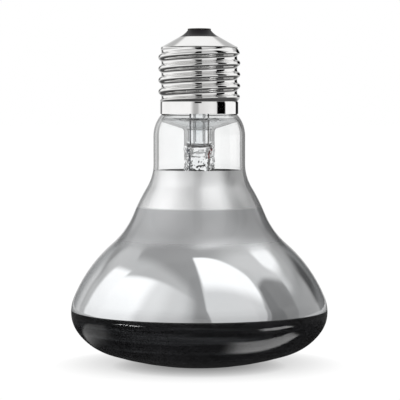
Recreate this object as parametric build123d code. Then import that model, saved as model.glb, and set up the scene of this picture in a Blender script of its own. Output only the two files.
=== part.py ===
from build123d import *
from math import acos, asin, cos, degrees, radians, sin, sqrt, tan
import os

# A basking spot lamp: a blown reflector bulb with a mirrored bowl and a smoked face, on a
# screw cap. It stands on its domed face with the cap upwards. Millimetres, +Z up, and the
# origin is on the bulb's axis at the lowest point of the face. Angles are in degrees: a lean
# is measured from upright and a slope from level.

os.makedirs("parts", exist_ok=True)

# Glass bulb, from the face up to the lip of the neck
reflector_diameter = 82.0
neck_diameter = 29.3
glass_wall = 0.9
face_slope_angle = 17.7
heel_radius = 18.0
heel_slope_angle = 55.0
rim_radius = 10.5
brow_radius = 12.4
brow_lean_angle = 21.8
bowl_lean_angle = 49.1
waist_radius = 25.8
waist_lean_angle = 22.0
flank_radius = 57.5
flank_lean_angle = 31.2
throat_radius = 14.5
neck_length = 8.9
collar_radius = 10.4
tuck_radius = 2.0
lip_length = 1.0

# Coatings on the inner wall of the bulb: the smoked one reaches above the widest line, and
# the mirrored one stops short of the straight neck
coating_thickness = 0.15
smoked_rise = 0.7
mirror_drop = 2.0

# Screw cap shell
skirt_diameter = 24.9
skirt_height = 3.7
cap_wall = 0.25
collar_clearance = 0.2
cement_thickness = 0.735
thread_crest_diameter = 26.15
thread_root_diameter = 24.0
thread_pitch = 3.629
thread_turns = 3.92
thread_runout = 1.6
runout_sink = 0.1
thread_root_land = 0.03
skirt_bevel = 0.6
cone_diameter = 24.4
cone_bevel = 0.3
cone_brim = 0.1
cone_slope_angle = 29.4
cone_opening_diameter = 13.0

# Cap insulator, contact and solder
insulator_rise = 2.19
insulator_depth = 3.6
insulator_flange = 2.0
insulator_hollow = 0.15
contact_diameter = 7.4
contact_thickness = 0.5
contact_countersink = 1.8
solder_cover = 0.15
bead_diameter = 2.4
bead_height = 0.55

# Glass stem and exhaust tube
stem_diameter = 9.8
stem_wall = 1.0
flare_rise = 1.3
flare_lean_angle = 72.0
flare_bend = 1.2
stem_length = 6.0
press_neck = 2.2
press_width = 9.6
press_thickness = 4.2
press_corner = 1.6
press_length = 6.5
exhaust_diameter = 4.0
exhaust_wall = 0.6
exhaust_rise = 9.0

# Wires and filament
lead_diameter = 0.5
lead_spacing = 5.8
lead_bend = 2.0
lead_foot = 3.5
shell_lead_gap = 0.35
contact_lead_gap = 2.5
filament_height = 40.0
filament_length = 16.0
filament_coil_diameter = 1.3
filament_wire = 0.3
filament_pitch = 1.0
filament_leg = 2.0
filament_elbow_diameter = 0.36
crimp_diameter = 1.0
crimp_length = 1.2
support_diameter = 0.4
support_seat = 3.0
hook_clearance = 0.1
hook_turn_angle = 270.0

reflector_radius = reflector_diameter / 2
neck_radius = neck_diameter / 2
skirt_radius = skirt_diameter / 2
skirt_bore = skirt_radius - cap_wall
lip_radius = skirt_bore - cement_thickness
lead_radius = lead_diameter / 2

# Overlap by which a cutting or joining shape passes through the face that it crosses
pass_through = 1.0


def cosine(angle):
    """Cosine of an angle in degrees."""
    return cos(radians(angle))


def sine(angle):
    """Sine of an angle in degrees."""
    return sin(radians(angle))


def tangent(angle):
    """Tangent of an angle in degrees."""
    return tan(radians(angle))


def turned(edges):
    """Solid turned about the lamp's axis from a closed half section of radius and height."""
    return revolve(Plane.XZ * make_face(edges), Axis.Z)


def turned_polygon(*corners):
    """Solid turned about the lamp's axis from the corners of its half section."""
    return turned(Polyline(*corners, close=True))


def ring(outer_radius, inner_radius, bottom, top):
    """Plain ring about the lamp's axis."""
    return turned_polygon(
        (inner_radius, bottom), (outer_radius, bottom), (outer_radius, top), (inner_radius, top)
    )


def rod(start, end, radius):
    """Round rod from one point to another."""
    axis = Vector(*end) - Vector(*start)
    return extrude(Plane(origin=start, z_dir=axis) * Circle(radius), axis.length)


def bent_wire(points, bend, radius):
    """Round wire along straight runs joined by bends of one radius."""
    path = FilletPolyline(*points, radius=bend)
    return sweep(Plane(origin=path @ 0, z_dir=path % 0) * Circle(radius), path=path)


# The face is centred on the axis and meets the heel where the heel and rim bends leave off
rim_reach = rim_radius * (1 - sine(heel_slope_angle))
heel_reach = heel_radius * (sine(heel_slope_angle) - sine(face_slope_angle))
face_radius = (reflector_radius - rim_reach - heel_reach) / sine(face_slope_angle)

# The bowl bend fills what the other bends leave between the neck and the widest line
brow_reach = brow_radius * (1 - cosine(brow_lean_angle))
waist_reach = waist_radius * (cosine(waist_lean_angle) - cosine(bowl_lean_angle))
flank_reach = flank_radius * (cosine(waist_lean_angle) - cosine(flank_lean_angle))
throat_reach = throat_radius * (1 - cosine(flank_lean_angle))
bowl_reach = reflector_radius - neck_radius - brow_reach - waist_reach - flank_reach - throat_reach
bowl_radius = bowl_reach / (cosine(brow_lean_angle) - cosine(bowl_lean_angle))

# The collar leans until the lip is left with room for the cement inside the skirt
collar_reach = neck_radius - lip_radius
collar_lean_angle = degrees(acos(1 - collar_reach / (collar_radius + tuck_radius)))

# Bends above the face in order: a left turn leans the wall inwards and a right turn outwards.
# A step without a turn is a straight run, and its size is a length instead of a radius.
bulb_steps = [
    ("heel", heel_radius, heel_slope_angle - face_slope_angle),
    ("rim", rim_radius, 90 - heel_slope_angle),
    ("brow", brow_radius, brow_lean_angle),
    ("bowl", bowl_radius, bowl_lean_angle - brow_lean_angle),
    ("waist", waist_radius, waist_lean_angle - bowl_lean_angle),
    ("flank", flank_radius, flank_lean_angle - waist_lean_angle),
    ("throat", throat_radius, -flank_lean_angle),
    ("neck", neck_length, 0),
    ("collar", collar_radius, collar_lean_angle),
    ("tuck", tuck_radius, -collar_lean_angle),
    ("lip", lip_length, 0),
]


def step_on(last, size, turn, inset):
    """Edge that carries on from the last one, on an outline moved to its left by an inset."""
    start = last @ 1
    heading = last % 1
    if turn > 0:
        return JernArc(start, heading, size - inset, turn)
    if turn < 0:
        return JernArc(start, heading, size + inset, turn)
    return Line(start, start + heading * size)


def bulb_outline(inset):
    """Half section of the bulb's skin by the name of each bend, moved inwards by an inset."""
    edges = {"face": JernArc((0, inset), (1, 0), face_radius - inset, face_slope_angle)}
    last = edges["face"]
    for name, size, turn in bulb_steps:
        last = step_on(last, size, turn, inset)
        edges[name] = last
    return edges


def bulb_layer(outer_inset, inner_inset):
    """Shell of the bulb between two insets from its outer skin."""
    outer = bulb_outline(outer_inset)
    inner = bulb_outline(inner_inset)
    axis_edge = Line(inner["face"] @ 0, outer["face"] @ 0)
    lip_edge = Line(outer["lip"] @ 1, inner["lip"] @ 1)
    return turned([*outer.values(), *inner.values(), axis_edge, lip_edge])


skin = bulb_outline(0)
rim_height = (skin["rim"] @ 1).Y
neck_base = (skin["neck"] @ 0).Y
neck_top = (skin["neck"] @ 1).Y
lip_base = (skin["lip"] @ 0).Y
lip_top = (skin["lip"] @ 1).Y

# Glass bulb and the two coatings inside it
glass_bulb = bulb_layer(0, glass_wall)
coating = bulb_layer(glass_wall, glass_wall + coating_thickness)
smoked_edge = Plane.XY.offset(rim_height + smoked_rise)
mirror_edge = Plane.XY.offset(neck_base - mirror_drop)
smoked_coating = split(coating, smoked_edge, keep=Keep.BOTTOM)
mirror_coating = split(split(coating, smoked_edge, keep=Keep.TOP), mirror_edge, keep=Keep.BOTTOM)

# The cap is pushed on until the rim of its skirt is a clearance away from the collar
collar_centre = neck_radius - collar_radius
rim_contact = skirt_bore - collar_clearance - collar_centre
cap_rim = neck_top + sqrt(collar_radius**2 - rim_contact**2)
thread_start = cap_rim + skirt_height
first_crest = thread_start + thread_runout
last_crest = first_crest + thread_turns * thread_pitch
thread_end = last_crest + thread_runout
cone_radius = cone_diameter / 2
cone_base = thread_end + cone_brim
cone_opening = cone_opening_diameter / 2
cone_top = cone_base + (cone_radius - cone_opening) * tangent(cone_slope_angle)
cone_drop = cap_wall / cosine(cone_slope_angle)

# Thread form: crest and root arcs of one radius that meet on the flank
thread_root = thread_root_diameter / 2
thread_crest = thread_crest_diameter / 2
thread_depth = thread_crest - thread_root
thread_arc = ((thread_pitch / 2) ** 2 + thread_depth**2) / (4 * thread_depth)
flank_angle = degrees(asin(thread_pitch / 4 / thread_arc))


def arc_point(centre_radius, centre_height, arc, angle):
    """Point on a thread arc, at an angle from the direction that points away from the axis."""
    return (centre_radius + arc * cosine(angle), centre_height + arc * sine(angle))


def thread_ridge(inset):
    """One rounded ridge swept along the right-handed helix, moved inwards by an inset.

    Its foot is as wide as the root land allows, and it passes on into the core.
    """
    crest_arc = thread_arc - inset
    root_arc = thread_arc + inset
    crest_centre = thread_crest - thread_arc
    root_centre = thread_root + thread_arc
    foot_angle = degrees(asin(sqrt(thread_root_land / root_arc)))
    half_pitch = thread_pitch / 2
    crest = (thread_crest - inset, 0)
    upper_join = arc_point(crest_centre, 0, crest_arc, flank_angle)
    lower_join = arc_point(crest_centre, 0, crest_arc, -flank_angle)
    middle_angle = (flank_angle + foot_angle) / 2
    upper_middle = arc_point(root_centre, half_pitch, root_arc, 180 + middle_angle)
    lower_middle = arc_point(root_centre, -half_pitch, root_arc, 180 - middle_angle)
    upper_foot = arc_point(root_centre, half_pitch, root_arc, 180 + foot_angle)
    lower_foot = arc_point(root_centre, -half_pitch, root_arc, 180 - foot_angle)
    sole = thread_root - inset - thread_depth / 2
    section = make_face(
        [
            ThreePointArc(lower_join, crest, upper_join),
            ThreePointArc(upper_join, upper_middle, upper_foot),
            Polyline(upper_foot, (sole, upper_foot[1]), (sole, lower_foot[1]), lower_foot),
            ThreePointArc(lower_foot, lower_middle, lower_join),
        ]
    )
    helix_start = first_crest - thread_pitch
    helix_height = (thread_turns + 2) * thread_pitch
    helix = Helix(thread_pitch, helix_height, thread_root, center=(0, 0, helix_start))
    return sweep(Pos(0, 0, helix_start) * (Plane.XZ * section), path=helix, is_frenet=True)


def runout_limit(inset):
    """Ring that the ridge is cut to, which lets it run out at both ends of the thread."""
    inner = thread_root - inset - thread_depth
    outer = thread_crest - inset + runout_sink
    return turned_polygon(
        (inner, thread_start),
        (skirt_radius - inset - runout_sink, thread_start),
        (outer, first_crest + runout_sink),
        (outer, last_crest - runout_sink),
        (cone_radius - inset - runout_sink, thread_end),
        (inner, thread_end),
    )


def threaded(plain_core, inset):
    """Core with the thread's ridge joined to it."""
    return plain_core + (thread_ridge(inset) & runout_limit(inset))


# Cap shell: a plain skirt, the rolled thread and the cone that holds the insulator. Its inside
# follows its outside at the thickness of the sheet.
core_radius = thread_root + thread_root_land
outer_core = turned_polygon(
    (0, cap_rim),
    (skirt_radius, cap_rim),
    (skirt_radius, thread_start),
    (core_radius, thread_start + skirt_bevel),
    (core_radius, thread_end - cone_bevel),
    (cone_radius, thread_end),
    (cone_radius, cone_base),
    (cone_opening, cone_top),
    (0, cone_top),
)
inner_core = turned_polygon(
    (0, cap_rim - pass_through),
    (skirt_bore, cap_rim - pass_through),
    (skirt_bore, thread_start),
    (core_radius - cap_wall, thread_start + skirt_bevel),
    (core_radius - cap_wall, thread_end - cone_bevel),
    (cone_radius - cap_wall, thread_end),
    (cone_radius - cap_wall, cone_base - cone_drop + cap_wall * tangent(cone_slope_angle)),
    (cone_opening, cone_top - cone_drop),
    (cone_opening, cone_top + pass_through),
    (0, cone_top + pass_through),
)
cap_shell = threaded(outer_core, 0) - threaded(inner_core, cap_wall)

# Cap insulator: black glass that grips the edge of the cone's opening, with a hole for the lead
contact_radius = contact_diameter / 2
contact_seat = cone_top + insulator_rise
contact_top = contact_seat + contact_thickness
insulator_base = cone_top - insulator_depth
flange_radius = cone_opening + insulator_flange
flange_height = cone_top - cone_drop - insulator_flange * tangent(cone_slope_angle)
hollow_middle = (
    (cone_opening + contact_radius) / 2 - insulator_hollow,
    (cone_top + contact_seat) / 2 - insulator_hollow,
)
cap_insulator = turned(
    [
        Polyline(
            (contact_radius, contact_seat),
            (lead_radius, contact_seat),
            (lead_radius, insulator_base),
            (flange_radius, insulator_base),
            (flange_radius, flange_height),
            (cone_opening, cone_top - cone_drop),
            (cone_opening, cone_top),
        ),
        ThreePointArc((cone_opening, cone_top), hollow_middle, (contact_radius, contact_seat)),
    ]
)

# Centre contact, countersunk for the solder that holds the end of the lead
countersink_radius = contact_countersink / 2
centre_contact = turned_polygon(
    (lead_radius, contact_seat),
    (contact_radius, contact_seat),
    (contact_radius, contact_top),
    (countersink_radius, contact_top),
)
lead_end = contact_top - solder_cover
centre_solder = turned_polygon(
    (lead_radius, contact_seat),
    (countersink_radius, contact_top),
    (0, contact_top),
    (0, lead_end),
    (lead_radius, lead_end),
)

# Cement that holds the cap on the lip of the neck
cap_cement = ring(skirt_bore, lip_radius, lip_base, lip_top)

# Glass stem: a flare that is sealed to the collar, a tube, and the press that holds the wires
stem_radius = stem_diameter / 2
stem_top = neck_top + flare_rise
stem_base = stem_top - stem_length


def stem_outline(inset):
    """Half section of the stem from its closed end out past the collar, moved inwards by an inset."""
    tube = Line((stem_radius - inset, stem_base + inset), (stem_radius - inset, stem_top))
    bend = step_on(tube, flare_bend, -flare_lean_angle, inset)
    flare = step_on(bend, neck_diameter, 0, inset)
    return [tube, bend, flare]


stem_skin = stem_outline(0)
stem_bore = stem_outline(stem_wall)
bore_floor = stem_base + stem_wall
stem_rim = Line(stem_skin[-1] @ 1, stem_bore[-1] @ 1)
stem_end = Polyline(stem_skin[0] @ 0, (0, stem_base), (0, bore_floor), stem_bore[0] @ 0)
bulb_room = bulb_outline(glass_wall)
room_end = Polyline(bulb_room["lip"] @ 1, (0, lip_top), (0, glass_wall))
stem_tube = turned([*stem_skin, *stem_bore, stem_rim, stem_end]) & turned([*bulb_room.values(), room_end])
press_top = stem_base - press_neck
press_base = press_top - press_length
press_section = RectangleRounded(press_width, press_thickness, press_corner)
press_shoulder = loft(
    [Plane.XY.offset(press_top) * press_section, Plane.XY.offset(stem_base) * Circle(stem_radius)]
)
press_block = extrude(Plane.XY.offset(press_base) * press_section, press_length)

# Exhaust tube: sealed at its upper end inside the cap and standing on the floor of the stem
exhaust_radius = exhaust_diameter / 2
exhaust_bore = exhaust_radius - exhaust_wall
exhaust_top = lip_top + exhaust_rise
exhaust_shoulder = exhaust_top - exhaust_radius
exhaust_tube = turned(
    [
        Line((exhaust_bore, bore_floor), (exhaust_radius, bore_floor)),
        Line((exhaust_radius, bore_floor), (exhaust_radius, exhaust_shoulder)),
        JernArc((exhaust_radius, exhaust_shoulder), (0, 1), exhaust_radius, 90),
        Line((0, exhaust_top), (0, exhaust_top - exhaust_wall)),
        JernArc((exhaust_bore, exhaust_shoulder), (0, 1), exhaust_bore, 90),
        Line((exhaust_bore, exhaust_shoulder), (exhaust_bore, bore_floor)),
    ]
)

# Filament: a coil along X with straight legs that the leads are crimped on
coil_radius = (filament_coil_diameter - filament_wire) / 2
coil_turns = round(filament_length / filament_pitch)
coil_length = coil_turns * filament_pitch
coil_end = coil_length / 2
leg_height = filament_height - coil_radius
leg_end = coil_end + filament_leg
coil_path = Helix(filament_pitch, coil_length, coil_radius)
coil = sweep(
    Plane(origin=coil_path @ 0, z_dir=coil_path % 0) * Circle(filament_wire / 2),
    path=coil_path,
    is_frenet=True,
)
filament = Pos(-coil_end, 0, 0) * Rot(0, 90, 0) * coil
for side in (-1, 1):
    leg_start = (side * coil_end, 0, -coil_radius)
    filament += Pos(*leg_start) * Sphere(filament_elbow_diameter / 2)
    filament += rod(leg_start, (side * leg_end, 0, -coil_radius), filament_wire / 2)
filament = Pos(0, 0, filament_height) * filament

# Leads: each runs from its crimp on a leg of the filament up through the press and the stem.
# The contact lead goes on to the centre contact, and the shell lead leaves over the lip to the
# back of the skirt.
lead_offset = lead_spacing / 2
crimp_middle = leg_end - crimp_length / 2
crimp_top = leg_height + crimp_diameter / 2
foot_top = crimp_top + lead_foot
splay_top = press_base - lead_bend
shell_lead_height = lip_top + lead_radius + shell_lead_gap
contact_lead_turn = exhaust_top + contact_lead_gap


def lead_wire(side, upper_points):
    """Lead on one side of the lamp, from the crimp on its leg to the last of its upper points."""
    place = side * crimp_middle
    lower_points = [
        (place, 0, leg_height),
        (place, 0, foot_top),
        (side * lead_offset, 0, splay_top),
    ]
    run = bent_wire(lower_points + upper_points, lead_bend, lead_radius)
    crimp_start = (side * (leg_end - crimp_length), 0, leg_height)
    crimp = rod(crimp_start, (side * leg_end, 0, leg_height), crimp_diameter / 2)
    return run + crimp - filament


bead_back = sqrt(skirt_radius**2 - lead_offset**2)
contact_lead = lead_wire(
    1,
    [
        (lead_offset, 0, contact_lead_turn),
        (0, 0, contact_lead_turn + lead_spacing),
        (0, 0, lead_end),
    ],
)
shell_lead = lead_wire(
    -1, [(-lead_offset, 0, shell_lead_height), (-lead_offset, bead_back, shell_lead_height)]
)

# Support wire: set in the press, with a hook that curls round the middle of the filament
support_radius = support_diameter / 2
hook_radius = filament_coil_diameter / 2 + hook_clearance + support_radius
support_top = press_base + support_seat
hook_start = (-hook_radius, filament_height)
support_path = Plane.YZ * (
    Line((-hook_radius, support_top), hook_start)
    + JernArc(hook_start, (0, -1), hook_radius, hook_turn_angle)
)
filament_support = sweep(
    Pos(0, -hook_radius, support_top) * Circle(support_radius), path=support_path
)

# The press is moulded round the wires
wire_holes = rod((0, -hook_radius, press_base), (0, -hook_radius, support_top), support_radius)
for side in (-1, 1):
    wire_holes += rod((side * lead_offset, 0, press_base), (side * lead_offset, 0, bore_floor), lead_radius)
glass_stem = stem_tube + press_shoulder + press_block - wire_holes

# Side solder: a flattened bead on the back of the skirt, over the end of the shell lead
bead_place = Pos(-lead_offset, bead_back, shell_lead_height)
lead_hole = rod(
    (-lead_offset, 0, shell_lead_height),
    (-lead_offset, bead_back, shell_lead_height),
    lead_radius,
)
cap_shell = cap_shell - lead_hole
bead = bead_place * scale(Sphere(bead_diameter / 2), by=(1, 2 * bead_height / bead_diameter, 1))
side_solder = bead - Pos(0, 0, cap_rim) * Cylinder(
    skirt_radius, skirt_height * 2, align=(Align.CENTER, Align.CENTER, Align.MIN)
)
side_solder = side_solder - shell_lead

pieces = {
    "glass_bulb": glass_bulb,
    "mirror_coating": mirror_coating,
    "smoked_coating": smoked_coating,
    "cap_shell": cap_shell,
    "cap_insulator": cap_insulator,
    "centre_contact": centre_contact,
    "centre_solder": centre_solder,
    "side_solder": side_solder,
    "cap_cement": cap_cement,
    "glass_stem": glass_stem,
    "exhaust_tube": exhaust_tube,
    "contact_lead": contact_lead,
    "shell_lead": shell_lead,
    "filament": filament,
    "filament_support": filament_support,
}
for name, piece in pieces.items():
    export_step(piece, f"parts/{name}.step")
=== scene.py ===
"""Looks of a basking spot lamp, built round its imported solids.

The lamp is a blown reflector bulb with a mirrored bowl, a smoked face and a clear neck, on a
polished screw cap. It stands on its face with the cap upwards. Sizes in the classes are
millimetres and degrees, and the meshes are in metres.
"""

import logging
import math
from collections.abc import Callable
from dataclasses import dataclass
from enum import Enum

import bmesh
import bpy
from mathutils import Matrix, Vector, noise

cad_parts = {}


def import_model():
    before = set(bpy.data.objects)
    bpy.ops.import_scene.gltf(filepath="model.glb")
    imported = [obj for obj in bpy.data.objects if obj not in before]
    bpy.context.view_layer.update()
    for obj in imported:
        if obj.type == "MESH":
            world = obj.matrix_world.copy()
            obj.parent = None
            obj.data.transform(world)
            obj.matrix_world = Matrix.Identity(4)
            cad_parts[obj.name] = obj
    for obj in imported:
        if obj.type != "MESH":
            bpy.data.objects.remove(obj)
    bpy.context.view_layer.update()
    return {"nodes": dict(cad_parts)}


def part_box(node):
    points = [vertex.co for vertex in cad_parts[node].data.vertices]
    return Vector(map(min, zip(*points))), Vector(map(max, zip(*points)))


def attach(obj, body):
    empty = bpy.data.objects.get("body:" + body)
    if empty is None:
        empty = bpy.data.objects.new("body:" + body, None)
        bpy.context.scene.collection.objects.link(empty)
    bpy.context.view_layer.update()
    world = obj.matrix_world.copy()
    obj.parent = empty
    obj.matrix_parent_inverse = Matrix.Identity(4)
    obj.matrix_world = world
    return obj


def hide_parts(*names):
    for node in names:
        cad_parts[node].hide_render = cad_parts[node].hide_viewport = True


LOG = logging.getLogger("basking_spot_lamp")

MM = 0.001
BODY = "root"

# Mesh settings, with the distance in metres and the angles in degrees
MERGE_DISTANCE = 1e-7
SHARP_EDGE = 30.0
SHADING_ANGLE = 40.0
BEVEL_SEGMENTS = 3

Colour = tuple[float, float, float]


class Slot(Enum):
    """Material slots of the lamp's record."""

    CLEAR_GLASS = "clear_glass"
    MIRROR_COATING = "mirror_coating"
    SMOKED_COATING = "smoked_coating"
    CAP_METAL = "cap_metal"
    BLACK_GLASS = "black_glass"
    CONTACT_METAL = "contact_metal"
    SOLDER = "solder"
    STEM_GLASS = "stem_glass"


# Drawing and turning sections


class SectionPen:
    """Pen that draws the half section of a turned piece, with radius along X and height along Z.

    Attributes:
        mesh: The mesh that holds the section's points and edges.
        start: First point of the section.
        tip: Point that the pen has reached.
        heading: Direction of the pen in degrees, from level outwards towards upright.
        widest_step: Widest angle of one edge of a bend.
    """

    widest_step = 3.0

    def __init__(self, radius: float, height: float, heading: float = 0.0) -> None:
        """Puts the pen down.

        Args:
            radius: Distance of the first point from the axis.
            height: Height of the first point.
            heading: Direction in which the pen sets out.
        """
        self.mesh = bmesh.new()
        self.start = self.mesh.verts.new((radius * MM, 0.0, height * MM))
        self.tip = self.start
        self.heading = heading

    def _advance(self, step: Vector) -> None:
        """Extrudes the tip by one step."""
        made = bmesh.ops.extrude_vert_indiv(self.mesh, verts=[self.tip])
        self.tip = made["verts"][0]
        bmesh.ops.translate(self.mesh, verts=[self.tip], vec=step)

    def run(self, length: float, steps: int = 1) -> "SectionPen":
        """Draws a straight run ahead.

        Args:
            length: Length of the run.
            steps: Number of equal edges in the run.

        Returns:
            The pen itself.
        """
        angle = math.radians(self.heading)
        step = Vector((math.cos(angle), 0.0, math.sin(angle))) * (length * MM / steps)
        for _ in range(steps):
            self._advance(step)
        return self

    def reach(self, radius: float, height: float, steps: int = 1) -> "SectionPen":
        """Draws a straight run to a point.

        Args:
            radius: Distance of the point from the axis.
            height: Height of the point.
            steps: Number of equal edges in the run.

        Returns:
            The pen itself.
        """
        way = Vector((radius * MM, 0.0, height * MM)) - self.tip.co
        self.heading = math.degrees(math.atan2(way.z, way.x))
        for _ in range(steps):
            self._advance(way / steps)
        return self

    def bend(self, radius: float, turn: float) -> "SectionPen":
        """Draws a round bend that carries on from the heading.

        Args:
            radius: Radius of the bend.
            turn: Angle of the bend, to the left if it is positive.

        Returns:
            The pen itself.
        """
        side = self.heading + math.copysign(90.0, turn)
        angle = math.radians(side)
        centre = self.tip.co + Vector((math.cos(angle), 0.0, math.sin(angle))) * (radius * MM)
        made = bmesh.ops.spin(
            self.mesh,
            geom=[self.tip],
            cent=centre,
            axis=(0.0, -1.0, 0.0),
            angle=math.radians(turn),
            steps=max(2, math.ceil(abs(turn) / self.widest_step)),
        )
        self.tip = next(item for item in made["geom_last"] if isinstance(item, bmesh.types.BMVert))
        self.heading += turn
        return self

    def sag_to(self, radius: float, height: float, sag: float) -> "SectionPen":
        """Draws one arc to a point, which passes the straight line by a sag.

        Args:
            radius: Distance of the point from the axis.
            height: Height of the point.
            sag: Greatest distance from the straight line, to the right if it is positive.

        Returns:
            The pen itself.
        """
        way = Vector((radius * MM, 0.0, height * MM)) - self.tip.co
        half = way.length / 2
        arc_radius = (half**2 + (sag * MM) ** 2) / (2 * abs(sag) * MM)
        half_turn = math.copysign(math.degrees(math.asin(half / arc_radius)), sag)
        self.heading = math.degrees(math.atan2(way.z, way.x)) - half_turn
        return self.bend(arc_radius / MM, 2 * half_turn)

    def close(self) -> "SectionPen":
        """Joins the tip to the first point."""
        self.mesh.edges.new((self.tip, self.start))
        return self

    def turn_full(self, segments: int) -> bmesh.types.BMesh:
        """Turns the section about the lamp's axis and merges what meets there.

        Args:
            segments: Number of segments round the axis.

        Returns:
            The turned mesh, with its faces pointing outwards.
        """
        bmesh.ops.spin(
            self.mesh,
            geom=self.mesh.verts[:] + self.mesh.edges[:],
            cent=(0.0, 0.0, 0.0),
            axis=(0.0, 0.0, 1.0),
            angle=math.tau,
            steps=segments,
            use_merge=True,
        )
        bmesh.ops.remove_doubles(self.mesh, verts=self.mesh.verts[:], dist=MERGE_DISTANCE)
        bmesh.ops.recalc_face_normals(self.mesh, faces=self.mesh.faces[:])
        return self.mesh


def thicken(mesh: bmesh.types.BMesh, wall: float) -> None:
    """Gives a turned skin its wall, inwards from its faces.

    Args:
        mesh: Skin whose faces point outwards.
        wall: Thickness of the wall.
    """
    bmesh.ops.solidify(mesh, geom=mesh.faces[:], thickness=wall * MM)
    bmesh.ops.recalc_face_normals(mesh, faces=mesh.faces[:])


def cut_away(mesh: bmesh.types.BMesh, height: float, keep_above: bool) -> None:
    """Cuts a mesh level and throws one side away.

    Args:
        mesh: Mesh to cut.
        height: Height of the cut.
        keep_above: Whether the upper side stays.
    """
    bmesh.ops.bisect_plane(
        mesh,
        geom=mesh.verts[:] + mesh.edges[:] + mesh.faces[:],
        plane_co=(0.0, 0.0, height * MM),
        plane_no=(0.0, 0.0, 1.0),
        clear_inner=keep_above,
        clear_outer=not keep_above,
    )


def round_off(mesh: bmesh.types.BMesh, wanted: Callable[[Vector], bool], size: float) -> None:
    """Bevels the sharp edges whose middle is wanted.

    Args:
        mesh: Mesh with the edges.
        wanted: Test of an edge's middle, in metres.
        size: Width of the bevel.
    """
    sharp = [
        edge
        for edge in mesh.edges
        if edge.is_manifold
        and edge.calc_face_angle() > math.radians(SHARP_EDGE)
        and wanted((edge.verts[0].co + edge.verts[1].co) / 2)
    ]
    bmesh.ops.bevel(
        mesh,
        geom=sharp,
        offset=size * MM,
        segments=BEVEL_SEGMENTS,
        profile=0.5,
        affect="EDGES",
        material=-1,
    )


def finished_piece(
    mesh: bmesh.types.BMesh,
    name: str,
    material: bpy.types.Material,
    slot: Slot,
    *nodes: str,
) -> bpy.types.Object:
    """Makes a piece of the lamp from a mesh and lets it stand for solids.

    Args:
        mesh: Finished mesh, which is freed.
        name: Name of the piece.
        material: Finish of the piece.
        slot: Material slot of the record that the finish belongs to; not used.
        *nodes: Solids that the piece stands for.

    Returns:
        The new object.
    """
    data = bpy.data.meshes.new(name)
    for face in mesh.faces:
        face.smooth = True
    mesh.to_mesh(data)
    mesh.free()
    data.set_sharp_from_angle(angle=math.radians(SHADING_ANGLE))
    data.materials.append(material)
    piece = bpy.data.objects.new(name, data)
    bpy.context.scene.collection.objects.link(piece)
    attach(piece, BODY)
    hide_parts(*nodes)
    LOG.info("built %s with %d faces", name, len(data.polygons))
    return piece


def dress(node: bpy.types.Object, material: bpy.types.Material) -> None:
    """Puts a finish on a solid that stays as it is.

    Args:
        node: Object of the solid.
        material: Finish for every slot of it.
    """
    for place in node.material_slots:
        place.material = material
    LOG.info("dressed %s in %s", node.name, material.name)


# Finishes


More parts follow.
